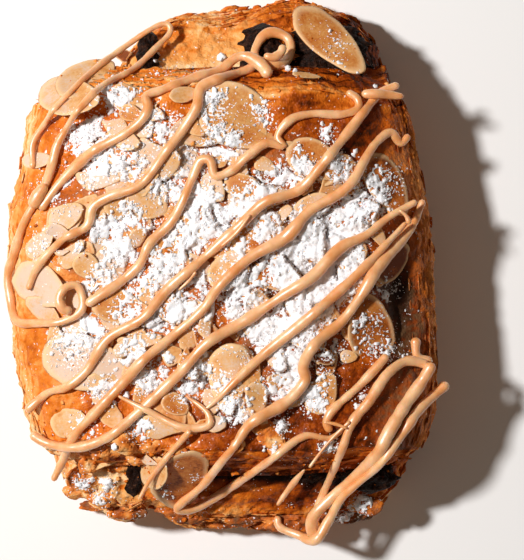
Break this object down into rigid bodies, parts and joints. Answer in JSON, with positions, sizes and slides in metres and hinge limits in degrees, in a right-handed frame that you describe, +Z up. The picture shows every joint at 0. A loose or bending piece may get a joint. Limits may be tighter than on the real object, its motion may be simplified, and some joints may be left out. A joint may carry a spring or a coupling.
{
  "type": "almond pain au chocolat",
  "caption": "Rolled flaky pastry with sticks of dark chocolate along its roll, topped with sliced almonds, icing sugar and a zigzag of caramel icing.",
  "frame": {"origin": "middle of the base, on the surface that the pastry lies on", "axes": "+Z up, +Y along the roll towards its back end, +X across the roll"},
  "size_m": [0.1074, 0.1324, 0.0415],
  "materials": {
    "crust": "golden to brown baked crust, glazed on top",
    "chocolate": "dark, melted and set",
    "almond": "toasted, pale cream to tan",
    "icing": "smooth set caramel icing, semi-gloss",
    "sugar": "matt icing sugar"
  },
  "bodies": {
    "root": {"pastry": "crust", "chocolate_left": "chocolate", "chocolate_middle": "chocolate", "chocolate_right": "chocolate"}
  },
  "joints": []
}
